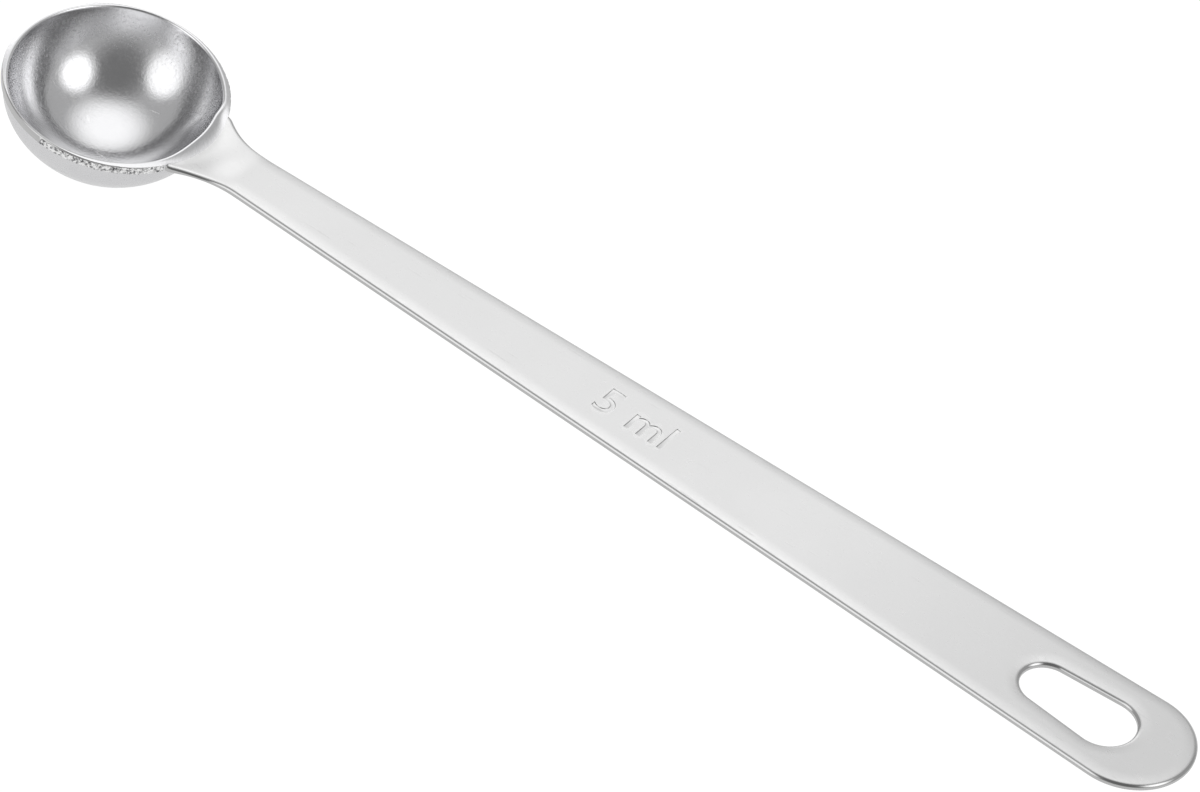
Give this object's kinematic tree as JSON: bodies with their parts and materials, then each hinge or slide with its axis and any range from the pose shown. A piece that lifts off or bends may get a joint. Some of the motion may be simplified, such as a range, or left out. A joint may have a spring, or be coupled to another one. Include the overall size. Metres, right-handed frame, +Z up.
{
  "type": "measuring spoon",
  "caption": "Stainless steel measuring spoon for level measures of dry or liquid ingredients: deep round bowl with a rolled lip, long flat tapered handle, hanging slot in the round tip.",
  "frame": {"origin": "under the middle of the spoon's length, level with the lowest point of the bowl", "axes": "+X from the bowl to the handle tip, +Y across the handle, +Z up out of the bowl's mouth"},
  "size_m": [0.1942, 0.0312, 0.0182],
  "materials": {
    "bowl_steel": "drawn stainless steel, polished inside and satin outside",
    "handle_steel": "stainless steel strap with a fine satin face and polished edges"
  },
  "bodies": {
    "root": {"bowl": "bowl_steel", "handle": "handle_steel"}
  },
  "joints": []
}
